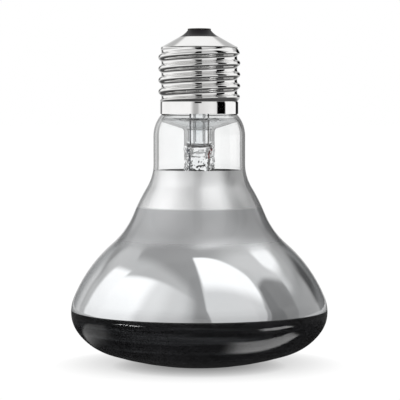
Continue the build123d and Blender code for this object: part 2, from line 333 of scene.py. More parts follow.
class NodeBench:
    """Bench for laying and joining the nodes of one tree."""

    def __init__(self, tree: bpy.types.NodeTree) -> None:
        """Starts on an emptied tree."""
        self.tree = tree
        self.tree.nodes.clear()

    def lay(self, kind: str, **settings: object) -> bpy.types.Node:
        """Lays one node.

        Args:
            kind: Type name of the node.
            **settings: Attributes of the node.

        Returns:
            The new node.
        """
        node = self.tree.nodes.new(kind)
        for name, value in settings.items():
            setattr(node, name, value)
        return node

    def join(self, source: bpy.types.NodeSocket, target: bpy.types.NodeSocket) -> None:
        """Joins an output to an input."""
        self.tree.links.new(source, target)

    def feed(self, place: bpy.types.NodeSocket, value: object) -> None:
        """Gives an input its value.

        Args:
            place: The input.
            value: Socket to join, or a number or colour to set.
        """
        if isinstance(value, bpy.types.NodeSocket):
            self.join(value, place)
        elif isinstance(value, tuple):
            place.default_value = (*value, 1.0)
        else:
            place.default_value = value

    def math(self, operation: str, first: object, second: object = 0.0) -> bpy.types.NodeSocket:
        """Lays a math node.

        Args:
            operation: Name of the operation.
            first: Socket or number for the first input.
            second: Socket or number for the second input.

        Returns:
            The node's output.
        """
        node = self.lay("ShaderNodeMath", operation=operation)
        self.feed(node.inputs[0], first)
        self.feed(node.inputs[1], second)
        return node.outputs["Value"]

    def rise(self, value: bpy.types.NodeSocket, start: float, end: float) -> bpy.types.NodeSocket:
        """Lays a soft step.

        Args:
            value: Socket with the value.
            start: Value at which the step is 0.
            end: Value at which the step is 1, which may be the lesser one.

        Returns:
            Socket from 0 to 1.
        """
        node = self.lay("ShaderNodeMapRange", interpolation_type="SMOOTHSTEP")
        node.inputs["From Min"].default_value = start
        node.inputs["From Max"].default_value = end
        self.join(value, node.inputs["Value"])
        return node.outputs["Result"]

    def lean(
        self, share: bpy.types.NodeSocket, first: object, second: object
    ) -> bpy.types.NodeSocket:
        """Mixes two values by a share.

        Args:
            share: Socket with the share of the second value.
            first: Socket or number at a share of 0.
            second: Socket or number at a share of 1.

        Returns:
            The mixed value.
        """
        node = self.lay("ShaderNodeMix", data_type="FLOAT")
        self.join(share, node.inputs["Factor"])
        self.feed(node.inputs["A"], first)
        self.feed(node.inputs["B"], second)
        return node.outputs["Result"]

    def group(self, tree: bpy.types.NodeTree, **values: float) -> bpy.types.Node:
        """Places a node group with its own values.

        Args:
            tree: The group.
            **values: Values of its inputs, by name with underscores for spaces.

        Returns:
            The group's node.
        """
        node = self.lay("ShaderNodeGroup", node_tree=tree)
        for name, value in values.items():
            node.inputs[name.replace("_", " ").title()].default_value = value
        return node

    def blend(
        self, share: bpy.types.NodeSocket, first: object, second: object
    ) -> bpy.types.NodeSocket:
        """Mixes two colours by a share.

        Args:
            share: Socket with the share of the second colour.
            first: Socket or colour at a share of 0.
            second: Socket or colour at a share of 1.

        Returns:
            The mixed colour.
        """
        node = self.lay("ShaderNodeMix", data_type="RGBA")
        self.join(share, node.inputs["Factor"])
        self.feed(node.inputs["A"], first)
        self.feed(node.inputs["B"], second)
        return node.outputs["Result"]

    def height(self) -> bpy.types.NodeSocket:
        """Lays the nodes for the height on the lamp, in metres."""
        place = self.lay("ShaderNodeTexCoord")
        split = self.lay("ShaderNodeSeparateXYZ")
        self.join(place.outputs["Object"], split.inputs["Vector"])
        return split.outputs["Z"]


def empty_material(name: str) -> tuple[bpy.types.Material, NodeBench]:
    """Makes a material with an emptied tree.

    Args:
        name: Name of the material.

    Returns:
        The material and a bench for its tree.
    """
    made = bpy.data.materials.new(name)
    made.use_nodes = True
    return made, NodeBench(made.node_tree)


class SurfaceGroups:
    """Node groups that several finishes share."""

    cloud_detail = 4.0
    cloud_low = 0.3
    cloud_high = 0.7
    line_detail = 3.0

    def __init__(self) -> None:
        """Builds each group once."""
        self.mottle = self._mottle()
        self.hairlines = self._hairlines()

    @staticmethod
    def _empty(name: str, inputs: dict[str, float], output: str) -> bpy.types.NodeTree:
        """Makes a group's tree with its sockets.

        Args:
            name: Name of the group.
            inputs: Default value of each input, by name.
            output: Name of its one output.

        Returns:
            The tree.
        """
        tree = bpy.data.node_groups.new(name, "ShaderNodeTree")
        for label, value in inputs.items():
            socket = tree.interface.new_socket(label, in_out="INPUT", socket_type="NodeSocketFloat")
            socket.default_value = value
        tree.interface.new_socket(output, in_out="OUTPUT", socket_type="NodeSocketFloat")
        return tree

    def _mottle(self) -> bpy.types.NodeTree:
        """Soft cloudy value between two limits."""
        tree = self._empty("mottle", {"Scale": 100.0, "Low": 0.0, "High": 1.0}, "Value")
        bench = NodeBench(tree)
        entry = bench.lay("NodeGroupInput")
        leave = bench.lay("NodeGroupOutput")
        place = bench.lay("ShaderNodeTexCoord")
        cloud = bench.lay("ShaderNodeTexNoise")
        cloud.inputs["Detail"].default_value = self.cloud_detail
        span = bench.lay("ShaderNodeMapRange")
        span.inputs["From Min"].default_value = self.cloud_low
        span.inputs["From Max"].default_value = self.cloud_high
        bench.join(place.outputs["Object"], cloud.inputs["Vector"])
        bench.join(entry.outputs["Scale"], cloud.inputs["Scale"])
        bench.join(cloud.outputs["Fac"], span.inputs["Value"])
        bench.join(entry.outputs["Low"], span.inputs["To Min"])
        bench.join(entry.outputs["High"], span.inputs["To Max"])
        bench.join(span.outputs["Result"], leave.inputs["Value"])
        return tree

    def _hairlines(self) -> bpy.types.NodeTree:
        """Fine level lines, as a turning or drawing tool leaves them."""
        tree = self._empty("hairlines", {"Scale": 100.0, "Stretch": 30.0}, "Height")
        bench = NodeBench(tree)
        entry = bench.lay("NodeGroupInput")
        leave = bench.lay("NodeGroupOutput")
        place = bench.lay("ShaderNodeTexCoord")
        split = bench.lay("ShaderNodeSeparateXYZ")
        tall = bench.lay("ShaderNodeCombineXYZ")
        lines = bench.lay("ShaderNodeTexNoise")
        lines.inputs["Detail"].default_value = self.line_detail
        bench.join(place.outputs["Object"], split.inputs["Vector"])
        bench.join(split.outputs["X"], tall.inputs["X"])
        bench.join(split.outputs["Y"], tall.inputs["Y"])
        stretched = bench.math("MULTIPLY", split.outputs["Z"], entry.outputs["Stretch"])
        bench.join(stretched, tall.inputs["Z"])
        bench.join(tall.outputs["Vector"], lines.inputs["Vector"])
        bench.join(entry.outputs["Scale"], lines.inputs["Scale"])
        bench.join(lines.outputs["Fac"], leave.inputs["Height"])
        return tree


@dataclass(frozen=True)
class Finish:
    """Finish with one main shader and a surface that is never quite even.

    Attributes:
        name: Name of the material.
        light: Colour where the surface is lightest.
        deep: Colour where it is deepest.
        smooth: Roughness where it is smoothest.
        dull: Roughness where it is dullest.
        cloud_scale: Scale of the clouds in colour, for each metre.
        metallic: Whether it is bare metal.
        bump: Strength of the relief.
        bump_scale: Scale of the relief, for each metre.
        relief_height: Height of the relief in millimetres.
        gloss: Level of the reflections of a finish that isn't metal.
        wear_ratio: How much finer the clouds are in roughness.
    """

    name: str
    light: Colour
    deep: Colour
    smooth: float
    dull: float
    cloud_scale: float
    metallic: bool = False
    bump: float = 0.0
    bump_scale: float = 400.0
    relief_height: float = 0.05
    gloss: float = 0.5
    wear_ratio: float = 1.7

    def _shader(self, bench: NodeBench, groups: SurfaceGroups) -> bpy.types.Node:
        """Lays the main shader with its clouds and relief.

        Args:
            bench: Bench of the material's tree.
            groups: Shared node groups.

        Returns:
            The shader's node.
        """
        shader = bench.lay("ShaderNodeBsdfPrincipled")
        shader.inputs["Metallic"].default_value = 1.0 if self.metallic else 0.0
        shader.inputs["Specular IOR Level"].default_value = self.gloss
        tint = bench.group(groups.mottle, scale=self.cloud_scale)
        bench.join(
            bench.blend(tint.outputs["Value"], self.light, self.deep), shader.inputs["Base Color"]
        )
        wear = bench.group(
            groups.mottle,
            scale=self.cloud_scale * self.wear_ratio,
            low=self.smooth,
            high=self.dull,
        )
        bench.join(wear.outputs["Value"], shader.inputs["Roughness"])
        if self.bump > 0.0:
            relief = bench.group(groups.mottle, scale=self.bump_scale)
            self._raise_relief(bench, shader, relief.outputs["Value"])
        return shader

    def _raise_relief(
        self, bench: NodeBench, shader: bpy.types.Node, height: bpy.types.NodeSocket
    ) -> None:
        """Feeds a relief to the shader's normal.

        Args:
            bench: Bench of the material's tree.
            shader: The main shader.
            height: Socket with the relief from 0 to 1.
        """
        bump = bench.lay("ShaderNodeBump")
        bump.inputs["Strength"].default_value = self.bump
        bump.inputs["Distance"].default_value = self.relief_height * MM
        bench.join(height, bump.inputs["Height"])
        bench.join(bump.outputs["Normal"], shader.inputs["Normal"])

    @staticmethod
    def _tint(
        bench: NodeBench, shader: bpy.types.Node, share: bpy.types.NodeSocket, colour: object
    ) -> None:
        """Covers a share of the shader's colour with another one.

        Args:
            bench: Bench of the material's tree.
            shader: The main shader.
            share: Socket with the share that is covered.
            colour: Socket or colour that covers it.
        """
        plain = shader.inputs["Base Color"].links[0].from_socket
        bench.join(bench.blend(share, plain, colour), shader.inputs["Base Color"])

    def material(self, groups: SurfaceGroups) -> bpy.types.Material:
        """Makes the material.

        Args:
            groups: Shared node groups.

        Returns:
            The new material.
        """
        made, bench = empty_material(self.name)
        leave = bench.lay("ShaderNodeOutputMaterial")
        shader = self._shader(bench, groups)
        bench.join(shader.outputs["BSDF"], leave.inputs["Surface"])
        return made


@dataclass(frozen=True)
class GlassFinish(Finish):
    """Clear glass that lets the light through.

    Attributes:
        refraction: Index of refraction.
    """

    refraction: float = 1.5

    def _shader(self, bench: NodeBench, groups: SurfaceGroups) -> bpy.types.Node:
        """Lays the main shader and makes it clear."""
        shader = super()._shader(bench, groups)
        shader.inputs["Transmission Weight"].default_value = 1.0
        shader.inputs["IOR"].default_value = self.refraction
        return shader


@dataclass(frozen=True)
class RolledFinish(Finish):
    """Plated sheet with the fine level lines of the rolling tool.

    Attributes:
        line_scale: Scale of the lines round the axis, for each metre.
        line_stretch: How much finer they are along the axis.
    """

    line_scale: float = 40.0
    line_stretch: float = 60.0

    def _shader(self, bench: NodeBench, groups: SurfaceGroups) -> bpy.types.Node:
        """Lays the main shader with lines for its relief."""
        shader = super()._shader(bench, groups)
        lines = bench.group(groups.hairlines, scale=self.line_scale, stretch=self.line_stretch)
        self._raise_relief(bench, shader, lines.outputs["Height"])
        return shader


@dataclass(frozen=True)
class StreakedFinish(Finish):
    """Film with faint level streaks, as it ran when it was laid on.

    Attributes:
        streak: Colour of the palest streaks.
        streak_scale: Scale of the streaks round the axis, for each metre.
        streak_stretch: How much finer they are along the axis.
        streak_start: Height of the lines' relief from which a streak shows.
        streak_full: Height of the relief at which it shows in full.
    """

    streak: Colour = (0.06, 0.062, 0.066)
    streak_scale: float = 14.0
    streak_stretch: float = 28.0
    streak_start: float = 0.5
    streak_full: float = 0.75

    def _shader(self, bench: NodeBench, groups: SurfaceGroups) -> bpy.types.Node:
        """Lays the main shader and draws the streaks over its colour."""
        shader = super()._shader(bench, groups)
        lines = bench.group(groups.hairlines, scale=self.streak_scale, stretch=self.streak_stretch)
        share = bench.rise(lines.outputs["Height"], self.streak_start, self.streak_full)
        self._tint(bench, shader, share, self.streak)
        return shader


@dataclass(frozen=True)
class FilmWithPaintedReflection(Finish):
    """Mirror film that is bright in the bowl and satin on the waist and the neck, with a painted
    reflection there: a painted bright band on the neck over a painted dim waist.

    Attributes:
        painted_reflection_band: Colour of the painted bright reflection band on the neck.
        waist: Colour of the painted dim reflection just below that band.
        satin: Roughness of the neck.
        waist_satin: Roughness of the waist.
        bright_top: Height below which the film is bright.
        dull_base: Height above which it is satin.
        band_base: Height of the lower edge of the painted bright band.
        band_fade: Height over which that edge changes.
    """

    # Painted reflection: the bright band on the neck and the dimmer waist stand in for reflected
    # light
    painted_reflection_band: Colour = (0.98, 0.98, 0.985)
    waist: Colour = (0.7, 0.705, 0.715)
    satin: float = 0.27
    waist_satin: float = 0.45
    bright_top: float = 36.5
    dull_base: float = 43.5
    band_base: float = 50.8
    band_fade: float = 0.8

    def _shader(self, bench: NodeBench, groups: SurfaceGroups) -> bpy.types.Node:
        """Lays the main shader, dulls the waist and the neck, and paints a reflection on them: a
        bright band over a dim waist.
        """
        shader = super()._shader(bench, groups)
        height = bench.height()
        satin_share = bench.rise(height, self.bright_top * MM, self.dull_base * MM)
        edge = self.band_fade / 2
        below = bench.rise(height, (self.band_base + edge) * MM, (self.band_base - edge) * MM)
        bright = shader.inputs["Roughness"].links[0].from_socket
        dull = bench.lean(below, self.satin, self.waist_satin)
        bench.join(bench.lean(satin_share, bright, dull), shader.inputs["Roughness"])
        # Painted reflection colours: the bright band on the neck over the dim waist
        self._tint(bench, shader, satin_share, bench.blend(below, self.painted_reflection_band, self.waist))
        return shader


@dataclass(frozen=True)
class SealWireFinish(Finish):
    """Lead wire with a copper-clad length where it is sealed in the glass.

    Attributes:
        copper: Colour of the clad length.
        copper_base: Height at which the clad length starts.
        copper_top: Height at which it ends.
        copper_fade: Height over which the colour changes.
    """

    copper: Colour = (0.2, 0.02, 0.02)
    copper_base: float = 66.5
    copper_top: float = 69.7
    copper_fade: float = 0.4

    def _shader(self, bench: NodeBench, groups: SurfaceGroups) -> bpy.types.Node:
        """Lays the main shader and colours the clad length."""
        shader = super()._shader(bench, groups)
        height = bench.height()
        edge = self.copper_fade / 2
        above = bench.rise(height, (self.copper_base - edge) * MM, (self.copper_base + edge) * MM)
        below = bench.rise(height, (self.copper_top + edge) * MM, (self.copper_top - edge) * MM)
        self._tint(bench, shader, bench.math("MULTIPLY", above, below), self.copper)
        return shader


CLEAR_GLASS = GlassFinish(
    "clear_blown_glass", (1.0, 1.0, 1.0), (0.97, 0.98, 0.98), 0.0, 0.01, 60.0,
    bump=0.04, bump_scale=90.0, relief_height=0.05,
)
STEM_GLASS = GlassFinish(
    "clear_drawn_glass", (1.0, 1.0, 1.0), (0.95, 0.97, 0.98), 0.0, 0.01, 90.0,
    bump=0.1, bump_scale=500.0, relief_height=0.05, refraction=1.35,
)
MIRROR_FILM = FilmWithPaintedReflection(
    "mirror_film", (0.86, 0.87, 0.88), (0.83, 0.84, 0.855), 0.02, 0.04, 45.0, metallic=True,
)
SMOKED_FILM = StreakedFinish(
    "smoked_film", (0.024, 0.024, 0.026), (0.012, 0.012, 0.013), 0.35, 0.5, 60.0, gloss=0.0,
)
NICKEL_PLATE = RolledFinish(
    "polished_nickel_plate", (0.86, 0.855, 0.85), (0.8, 0.795, 0.785), 0.03, 0.07, 160.0,
    metallic=True, bump=0.1, relief_height=0.02,
)
CAP_GLASS = Finish(
    "black_cap_glass", (0.004, 0.005, 0.005), (0.008, 0.005, 0.009), 0.04, 0.12, 350.0,
    bump=0.15, bump_scale=700.0, relief_height=0.05, gloss=0.12,
)
# Metal of the contact plate, dark all over
DARK_CONTACT_METAL = Finish(
    "dark_contact_metal", (0.1, 0.095, 0.085), (0.05, 0.047, 0.043), 0.3, 0.5, 700.0,
    metallic=True, bump=0.3, bump_scale=1500.0, relief_height=0.03,
)
SOLDER = Finish(
    "dull_solder", (0.55, 0.56, 0.57), (0.4, 0.41, 0.43), 0.28, 0.5, 900.0,
    metallic=True, bump=0.5, bump_scale=1200.0, relief_height=0.08,
)
CEMENT = Finish(
    "basing_cement", (0.45, 0.39, 0.3), (0.3, 0.25, 0.18), 0.8, 0.95, 900.0,
    bump=0.8, bump_scale=1800.0, relief_height=0.1,
)
SEALED_LEAD = SealWireFinish(
    "sealed_lead_wire", (0.3, 0.29, 0.28), (0.2, 0.19, 0.18), 0.2, 0.35, 800.0, metallic=True,
)
PLAIN_LEAD = Finish(
    "plain_lead_wire", (0.16, 0.17, 0.2), (0.1, 0.11, 0.13), 0.2, 0.35, 800.0, metallic=True,
)
FILAMENT_WIRE = Finish(
    "filament_wire", (0.3, 0.3, 0.32), (0.2, 0.2, 0.22), 0.3, 0.5, 1200.0, metallic=True,
)


# Parts of the lamp


@dataclass
class ReflectorBulb:
    """Blown glass bulb with a mirror film in its bowl and a smoked film in its face."""

    reflector_diameter: float = 82.0
    neck_diameter: float = 29.3
    glass_wall: float = 0.9
    face_slope: float = 17.7
    heel_radius: float = 18.0
    heel_slope: float = 55.0
    rim_radius: float = 10.5
    brow_radius: float = 12.4
    brow_lean: float = 21.8
    bowl_lean: float = 49.1
    waist_radius: float = 25.8
    waist_lean: float = 22.0
    flank_radius: float = 57.5
    flank_lean: float = 31.2
    throat_radius: float = 14.5
    neck_length: float = 8.9
    collar_radius: float = 10.4
    tuck_radius: float = 2.0
    lip_length: float = 1.0
    lip_radius: float = 11.465
    film_thickness: float = 0.15
    film_sink: float = 0.03
    smoked_rise: float = 0.7
    mirror_drop: float = 2.0
    segments: int = 192

    def __post_init__(self) -> None:
        """Works out the bends that the others leave open."""
        half = self.reflector_diameter / 2
        neck = self.neck_diameter / 2
        rim_reach = self.rim_radius * (1 - sine(self.heel_slope))
        heel_reach = self.heel_radius * (sine(self.heel_slope) - sine(self.face_slope))
        self.face_radius = (half - rim_reach - heel_reach) / sine(self.face_slope)
        brow_reach = self.brow_radius * (1 - cosine(self.brow_lean))
        waist_reach = self.waist_radius * (cosine(self.waist_lean) - cosine(self.bowl_lean))
        flank_reach = self.flank_radius * (cosine(self.waist_lean) - cosine(self.flank_lean))
        throat_reach = self.throat_radius * (1 - cosine(self.flank_lean))
        bowl_reach = half - neck - brow_reach - waist_reach - flank_reach - throat_reach
        self.bowl_radius = bowl_reach / (cosine(self.brow_lean) - cosine(self.bowl_lean))
        collar_reach = (neck - self.lip_radius) / (self.collar_radius + self.tuck_radius)
        self.collar_lean = math.degrees(math.acos(1 - collar_reach))

    def _outline(self, inset: float) -> tuple[SectionPen, dict[str, float]]:
        """Draws the half section from the face up to the lip.

        Args:
            inset: How far the outline lies inside the outer skin.

        Returns:
            The pen, and the height at which each bend starts.
        """
        pen = SectionPen(0.0, inset)
        bends = [
            ("face", self.face_radius, self.face_slope),
            ("heel", self.heel_radius, self.heel_slope - self.face_slope),
            ("rim", self.rim_radius, 90.0 - self.heel_slope),
            ("brow", self.brow_radius, self.brow_lean),
            ("bowl", self.bowl_radius, self.bowl_lean - self.brow_lean),
            ("waist", self.waist_radius, self.waist_lean - self.bowl_lean),
            ("flank", self.flank_radius, self.flank_lean - self.waist_lean),
            ("throat", self.throat_radius, -self.flank_lean),
            ("neck", self.neck_length, 0.0),
            ("collar", self.collar_radius, self.collar_lean),
            ("tuck", self.tuck_radius, -self.collar_lean),
            ("lip", self.lip_length, 0.0),
        ]
        starts = {}
        for name, size, turn in bends:
            starts[name] = pen.tip.co.z / MM
            if turn == 0.0:
                pen.run(size, steps=6)
            else:
                pen.bend(size - math.copysign(inset, turn), turn)
        return pen, starts

    def build(self, groups: SurfaceGroups) -> None:
        """Builds and dresses the glass and its two films.

        Args:
            groups: Shared node groups.
        """
        pen, starts = self._outline(0.0)
        smoked_edge = starts["brow"] + self.smoked_rise
        mirror_edge = starts["neck"] - self.mirror_drop
        glass = pen.turn_full(self.segments)
        thicken(glass, self.glass_wall)
        finished_piece(
            glass, "bulb_glass", CLEAR_GLASS.material(groups), Slot.CLEAR_GLASS, "glass_bulb"
        )
        mirror = self._film(smoked_edge, mirror_edge)
        finished_piece(
            mirror, "mirror_film", MIRROR_FILM.material(groups), Slot.MIRROR_COATING, "mirror_coating"
        )
        smoked = self._film(None, smoked_edge)
        finished_piece(
            smoked, "smoked_film", SMOKED_FILM.material(groups), Slot.SMOKED_COATING, "smoked_coating"
        )

    def _film(self, bottom: float | None, top: float) -> bmesh.types.BMesh:
        """Makes a film on the inner wall between two heights.

        Args:
            bottom: Height of its lower edge, or None for a film that covers the face.
            top: Height of its upper edge.

        Returns:
            The film's mesh.
        """
        pen, _ = self._outline(self.glass_wall - self.film_sink)
        film = pen.turn_full(self.segments)
        cut_away(film, top, keep_above=False)
        if bottom is not None:
            cut_away(film, bottom, keep_above=True)
        thicken(film, self.film_thickness)
        return film


def cosine(angle: float) -> float:
    """Cosine of an angle in degrees."""
    return math.cos(math.radians(angle))


def sine(angle: float) -> float:
    """Sine of an angle in degrees."""
    return math.sin(math.radians(angle))


def soft_least(first: float, second: float, reach: float) -> float:
    """Lesser of two values, rounded where they cross.

    Args:
        first: One value.
        second: The other value.
        reach: Difference of the two below which the corner is rounded.

    Returns:
        The rounded lesser value.
    """
    share = max(reach - abs(first - second), 0.0) / reach
    return min(first, second) - share * share * reach / 4


def ease(value: float, start: float, end: float) -> float:
    """Share from 0 to 1 that a value has gone from a start to an end, with soft ends."""
    share = min(max((value - start) / (end - start), 0.0), 1.0)
    return share * share * (3.0 - 2.0 * share)


@dataclass
class ScrewCap:
    """Screw cap: the rolled shell, its black glass, the contact plate and the solder."""

    rim_height: float
    skirt_diameter: float = 24.9
    skirt_height: float = 3.7
    wall: float = 0.25
    crest_diameter: float = 26.15
    root_diameter: float = 24.0
    pitch: float = 3.629
    turns: float = 3.92
    runout: float = 1.6
    runout_sink: float = 0.1
    runout_blend: float = 0.4
    root_blend: float = 0.3
    skirt_bevel: float = 0.6
    cone_diameter: float = 24.4
    cone_bevel: float = 0.3
    cone_brim: float = 0.1
    cone_slope: float = 29.4
    cone_opening_diameter: float = 13.0
    insulator_rise: float = 2.19
    insulator_depth: float = 3.6
    insulator_flange: float = 2.0
    insulator_sag: float = 0.21
    contact_diameter: float = 7.4
    contact_thickness: float = 0.5
    contact_edge: float = 0.14
    contact_edge_start: float = 0.9
    countersink_diameter: float = 1.8
    lead_diameter: float = 0.5
    solder_cover: float = 0.15
    solder_dip: float = 0.03
    solder_sag: float = 0.02
    segments: int = 192
    thread_rows: int = 150
    height_slack: float = 1e-6

    def __post_init__(self) -> None:
        """Works out the heights and radii that follow from the sizes."""
        self.thread_start = self.rim_height + self.skirt_height
        self.first_crest = self.thread_start + self.runout
        self.last_crest = self.first_crest + self.turns * self.pitch
        self.thread_end = self.last_crest + self.runout
        self.cone_base = self.thread_end + self.cone_brim
        self.cone_opening = self.cone_opening_diameter / 2
        cone_run = self.cone_diameter / 2 - self.cone_opening
        self.cone_top = self.cone_base + cone_run * math.tan(math.radians(self.cone_slope))
        self.contact_seat = self.cone_top + self.insulator_rise
        self.contact_top = self.contact_seat + self.contact_thickness

    def _thread_radius(self, height: float, angle: float) -> float:
        """Radius of the rolled thread.

        Args:
            height: Height on the lamp.
            angle: Angle round the axis in radians, from +X.

        Returns:
            The radius of the outer face there.
        """
        crest = self.crest_diameter / 2
        root = self.root_diameter / 2
        depth = crest - root
        arc = ((self.pitch / 2) ** 2 + depth**2) / (4 * depth)
        turns_up = (height - self.first_crest) / self.pitch - angle / math.tau
        from_crest = abs(turns_up - round(turns_up)) * self.pitch
        if from_crest < self.pitch / 4:
            ridge = crest - arc + math.sqrt(arc**2 - from_crest**2)
        else:
            from_root = self.pitch / 2 - from_crest
            ridge = root + arc - math.sqrt(arc**2 - from_root**2)
        skirt = self.skirt_diameter / 2
        cone = self.cone_diameter / 2
        start_share = (height - self.thread_start) / self.runout
        end_share = (self.thread_end - height) / self.runout
        start_limit = skirt - self.runout_sink + (crest - skirt) * start_share
        end_limit = cone - self.runout_sink + (crest - cone) * end_share
        ridge = soft_least(ridge, start_limit, self.runout_blend)
        ridge = soft_least(ridge, end_limit, self.runout_blend)
        below = 1.0 - ease(height, self.thread_start, self.thread_start + self.skirt_bevel)
        above = ease(height, self.thread_end - self.cone_bevel, self.thread_end)
        core = root + (skirt - root) * below + (cone - root) * above
        if below + above > 0.0:
            return max(ridge, core)
        return -soft_least(-ridge, -core, self.root_blend)

    def _shell(self) -> bmesh.types.BMesh:
        """Turns the shell and rolls the thread into it.

        Returns:
            The shell's mesh.
        """
        pen = SectionPen(self.skirt_diameter / 2, self.rim_height, 90.0)
        pen.run(self.skirt_height, steps=6)
        pen.run(self.thread_end - self.thread_start, steps=self.thread_rows)
        pen.reach(self.cone_diameter / 2, self.cone_base)
        pen.reach(self.cone_opening, self.cone_top, steps=8)
        shell = pen.turn_full(self.segments)
        for vertex in shell.verts:
            height = vertex.co.z / MM
            if self.thread_start < height <= self.thread_end + self.height_slack:
                angle = math.atan2(vertex.co.y, vertex.co.x)
                radius = self._thread_radius(height, angle) * MM
                vertex.co.x = radius * math.cos(angle)
                vertex.co.y = radius * math.sin(angle)
        thicken(shell, self.wall)
        return shell

    def _insulator(self) -> bmesh.types.BMesh:
        """Turns the black glass that fills the cone's opening.

        Returns:
            Its mesh.
        """
        drop = self.wall / cosine(self.cone_slope)
        flange_radius = self.cone_opening + self.insulator_flange
        flange_fall = self.insulator_flange * math.tan(math.radians(self.cone_slope))
        base = self.cone_top - self.insulator_depth
        pen = SectionPen(self.lead_diameter / 2, self.contact_seat)
        pen.reach(self.contact_diameter / 2, self.contact_seat, steps=2)
        pen.sag_to(self.cone_opening, self.cone_top, self.insulator_sag)
        pen.reach(self.cone_opening, self.cone_top - drop)
        pen.reach(flange_radius, self.cone_top - drop - flange_fall)
        pen.reach(flange_radius, base)
        pen.reach(self.lead_diameter / 2, base)
        return pen.close().turn_full(self.segments)

    def _contact(self) -> bmesh.types.BMesh:
        """Turns the contact plate and rounds its edge.

        Returns:
            Its mesh.
        """
        rim = self.contact_diameter / 2
        pen = SectionPen(self.countersink_diameter / 2, self.contact_top)
        pen.reach(rim, self.contact_top, steps=3)
        pen.reach(rim, self.contact_seat)
        pen.reach(self.lead_diameter / 2, self.contact_seat, steps=3)
        plate = pen.close().turn_full(self.segments // 2)
        edge_start = self.contact_edge_start * rim * MM
        round_off(plate, lambda middle: middle.xy.length > edge_start, self.contact_edge)
        return plate

    def _centre_solder(self) -> bmesh.types.BMesh:
        """Turns the solder that fills the contact's countersink.

        Returns:
            Its mesh.
        """
        lead = self.lead_diameter / 2
        lead_end = self.contact_top - self.solder_cover
        pen = SectionPen(0.0, self.contact_top - self.solder_dip)
        pen.sag_to(self.countersink_diameter / 2, self.contact_top, self.solder_sag)
        pen.reach(lead, self.contact_seat)
        pen.reach(lead, lead_end)
        pen.reach(0.0, lead_end)
        return pen.turn_full(self.segments // 4)

    def build(self, groups: SurfaceGroups) -> None:
        """Builds and dresses the cap's pieces.

        Args:
            groups: Shared node groups.
        """
        plate = NICKEL_PLATE.material(groups)
        finished_piece(self._shell(), "threaded_shell", plate, Slot.CAP_METAL, "cap_shell")
        glass = CAP_GLASS.material(groups)
        finished_piece(self._insulator(), "cap_glass", glass, Slot.BLACK_GLASS, "cap_insulator")
        contact_metal = DARK_CONTACT_METAL.material(groups)
        finished_piece(self._contact(), "contact_plate", contact_metal, Slot.CONTACT_METAL, "centre_contact")
        solder = SOLDER.material(groups)
        finished_piece(self._centre_solder(), "contact_solder", solder, Slot.SOLDER, "centre_solder")


